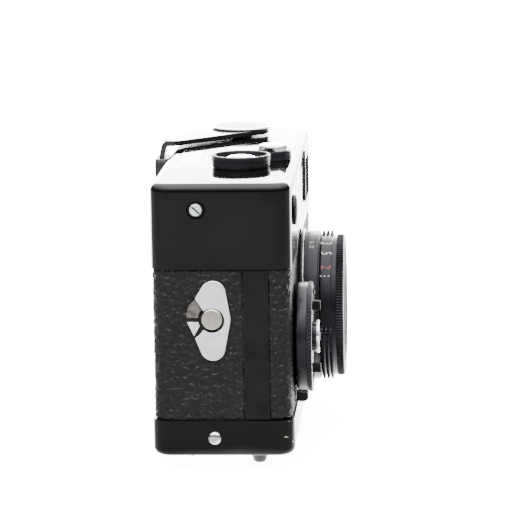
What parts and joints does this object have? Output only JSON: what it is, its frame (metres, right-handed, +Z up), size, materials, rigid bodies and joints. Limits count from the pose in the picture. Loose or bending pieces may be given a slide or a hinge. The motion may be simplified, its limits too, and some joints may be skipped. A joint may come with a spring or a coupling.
{
  "type": "pocket film camera",
  "caption": "Black pocket 35 mm viewfinder camera with a collapsible lens, two front setting dials, a top winding lever and a slide-off back.",
  "frame": {"origin": "centre of the camera's bounding box in plan, at the height of the surface it stands on", "axes": "+X along the camera towards the finder and winding-lever end, -Y the way the lens looks, +Z up"},
  "size_m": [0.098, 0.045, 0.0672],
  "materials": {
    "enamel": "gloss black enamel",
    "leather": "black pebbled leatherette",
    "black_metal": "semi-matt black anodised",
    "matt_black": "matt black paint",
    "cast_alloy": "raw die casting",
    "chrome": "bright plating",
    "satin_steel": "satin chrome",
    "brass": "machined",
    "black_plastic": "moulded",
    "clear_glass": "polished",
    "coated_glass": "coated lens glass",
    "white_print": "white print",
    "needle_red": "red paint"
  },
  "bodies": {
    "camera_body": {"chassis": "cast_alloy", "top_cover": "enamel", "front_panel": "matt_black", "front_leatherette": "leather", "side_screw_cassette_end": "chrome", "side_screw_finder_end": "chrome", "release_collar": "black_metal", "lens_release_collar": "black_metal", "meter_window": "clear_glass", "meter_movement": "brass", "battery": "satin_steel", "meter_cell_ring": "black_metal", "meter_cell_window": "clear_glass", "finder_tunnel": "matt_black", "finder_front_window": "clear_glass", "finder_eyepiece": "clear_glass", "lens_mount": "black_metal"},
    "back_cover": {"back_shell": "matt_black", "back_leatherette": "leather", "base_pan": "enamel", "strap_plate": "satin_steel", "strap_stud": "satin_steel", "strap_rivet_upper": "satin_steel", "strap_rivet_lower": "satin_steel", "case_stud": "chrome", "tripod_socket": "satin_steel", "accessory_shoe": "satin_steel", "counter_window": "clear_glass"},
    "release": {"release_button": "black_metal"},
    "lens_release": {"lens_release_button": "chrome"},
    "advance_lever": {"advance_arm": "black_metal", "advance_tip": "black_plastic", "advance_cap": "chrome", "advance_shaft": "satin_steel"},
    "sprocket": {"film_sprocket": "satin_steel"},
    "takeup": {"takeup_spool": "black_plastic"},
    "counter": {"counter_disc": "white_print"},
    "rewind_crank": {"rewind_disc": "satin_steel"},
    "rewind_handle": {"crank_handle": "satin_steel", "crank_knob": "black_plastic"},
    "fork": {"rewind_fork": "satin_steel"},
    "back_lock": {"lock_key": "satin_steel"},
    "tube_slide": {"tube_carrier": "brass"},
    "lens_barrel": {"lens_tube": "satin_steel", "distance_scale_ring": "black_metal", "shutter_housing": "black_metal", "rear_lens": "coated_glass"},
    "focusing_ring": {"focus_ring": "black_metal"},
    "front_cell": {"lens_cell": "black_metal", "front_lens": "coated_glass", "name_ring": "black_metal"},
    "aperture_setting": {"aperture_dial": "black_metal"},
    "film_speed_setting": {"film_speed_disc": "satin_steel"},
    "aperture_catch": {"aperture_lock": "black_metal"},
    "shutter_setting": {"shutter_speed_dial": "black_metal"},
    "film_reminder": {"film_reminder_disc": "satin_steel"},
    "meter_hand": {"meter_needle": "needle_red"},
    "match_hand": {"match_pointer": "white_print"},
    "film_pressure": {"pressure_plate": "black_metal"}
  },
  "joints": [
    {"name": "back_removal", "type": "slide", "parent": "camera_body", "child": "back_cover", "axis": [0, 0, -1], "range_m": [0, 0.045]},
    {"name": "release_press", "type": "slide", "parent": "camera_body", "child": "release", "axis": [0, 0, -1], "range_m": [0, 0.0018], "stiffness_N_per_m": 300, "springref_m": -0.002},
    {"name": "lens_release_press", "type": "slide", "parent": "camera_body", "child": "lens_release", "axis": [0, 0, -1], "range_m": [0, 0.0012], "stiffness_N_per_m": 300, "springref_m": -0.002},
    {"name": "lever_stroke", "type": "hinge", "parent": "camera_body", "child": "advance_lever", "pos_m": [0.03653, 0.00355, 0.0643], "axis": [0, 0, -1], "range_deg": [0, 160], "stiffness_Nm_per_rad": 0.01, "springref_deg": -17.19},
    {"name": "sprocket_turn", "type": "hinge", "parent": "camera_body", "child": "sprocket", "pos_m": [0.02573, 0.00745, 0.0273], "axis": [0, 0, -1], "range_deg": [-235, 5]},
    {"name": "takeup_turn", "type": "hinge", "parent": "camera_body", "child": "takeup", "pos_m": [0.03653, 0.00355, 0.0273], "axis": [0, 0, -1], "range_deg": [0, 160]},
    {"name": "counter_turn", "type": "hinge", "parent": "back_cover", "child": "counter", "pos_m": [0.01402, 0.01125, 0.0048], "axis": [0, 0, -1], "range_deg": [0, 10]},
    {"name": "rewind_turn", "type": "hinge", "parent": "back_cover", "child": "rewind_crank", "pos_m": [-0.03268, 0.00415, 0.0033], "axis": [0, 0, 1], "continuous": true},
    {"name": "handle_fold", "type": "hinge", "parent": "rewind_crank", "child": "rewind_handle", "pos_m": [-0.03907, 0.01045, 0.00215], "axis": [1, 0, 0], "range_deg": [0, 150]},
    {"name": "fork_turn", "type": "hinge", "parent": "camera_body", "child": "fork", "pos_m": [-0.03268, 0.00415, 0.0073], "axis": [0, 0, 1], "continuous": true},
    {"name": "lock_turn", "type": "hinge", "parent": "back_cover", "child": "back_lock", "pos_m": [0.04052, 0.00305, 0.0033], "axis": [0, 0, 1], "range_deg": [0, 90]},
    {"name": "lens_extension", "type": "slide", "parent": "camera_body", "child": "tube_slide", "axis": [0, -1, 0], "range_m": [0, 0.0153]},
    {"name": "lens_twist", "type": "hinge", "parent": "tube_slide", "child": "lens_barrel", "pos_m": [0.00052, -0.01695, 0.0281], "axis": [0, -1, 0], "range_deg": [0, 30]},
    {"name": "focus_turn", "type": "hinge", "parent": "lens_barrel", "child": "focusing_ring", "pos_m": [0.00052, -0.01695, 0.0281], "axis": [0, -1, 0], "range_deg": [0, 201]},
    {"name": "focus_travel", "type": "slide", "parent": "lens_barrel", "child": "front_cell", "axis": [0, -1, 0], "range_m": [0, 0.0015]},
    {"name": "aperture_turn", "type": "hinge", "parent": "camera_body", "child": "aperture_setting", "pos_m": [-0.02987, -0.01455, 0.0266], "axis": [0, -1, 0], "range_deg": [-70, 70]},
    {"name": "film_speed_turn", "type": "hinge", "parent": "aperture_setting", "child": "film_speed_setting", "pos_m": [-0.02987, -0.01455, 0.0266], "axis": [0, -1, 0], "range_deg": [-60, 60]},
    {"name": "aperture_catch_turn", "type": "hinge", "parent": "camera_body", "child": "aperture_catch", "pos_m": [-0.02987, -0.01455, 0.0266], "axis": [0, -1, 0], "range_deg": [0, 8], "stiffness_Nm_per_rad": 0.002, "springref_deg": -17.19},
    {"name": "shutter_speed_turn", "type": "hinge", "parent": "camera_body", "child": "shutter_setting", "pos_m": [0.03093, -0.01455, 0.0266], "axis": [0, -1, 0], "range_deg": [-125, 125]},
    {"name": "film_reminder_turn", "type": "hinge", "parent": "shutter_setting", "child": "film_reminder", "pos_m": [0.03093, -0.01455, 0.0266], "axis": [0, -1, 0], "continuous": true},
    {"name": "meter_hand_swing", "type": "hinge", "parent": "camera_body", "child": "meter_hand", "pos_m": [0.01153, 0.01255, 0.0603], "axis": [0, 0, 1], "range_deg": [-6, 6]},
    {"name": "match_hand_swing", "type": "hinge", "parent": "camera_body", "child": "match_hand", "pos_m": [0.01153, 0.01255, 0.0613], "axis": [0, 0, 1], "range_deg": [-7, 7]},
    {"name": "film_pressure_travel", "type": "slide", "parent": "camera_body", "child": "film_pressure", "axis": [0, 1, 0], "range_m": [0, 0.0008], "stiffness_N_per_m": 200, "springref_m": -0.002}
  ],
  "couplings": [
    {"joint": "sprocket_turn", "follows": "lever_stroke", "ratio": -1.4667},
    {"joint": "takeup_turn", "follows": "lever_stroke", "ratio": 1},
    {"joint": "counter_turn", "follows": "lever_stroke", "ratio": 0.0625},
    {"joint": "fork_turn", "follows": "rewind_turn", "ratio": 1},
    {"joint": "focus_turn", "follows": "focus_travel", "rad_per_m": 2327.1},
    {"joint": "match_hand_swing", "follows": "aperture_turn", "ratio": 0.09}
  ]
}
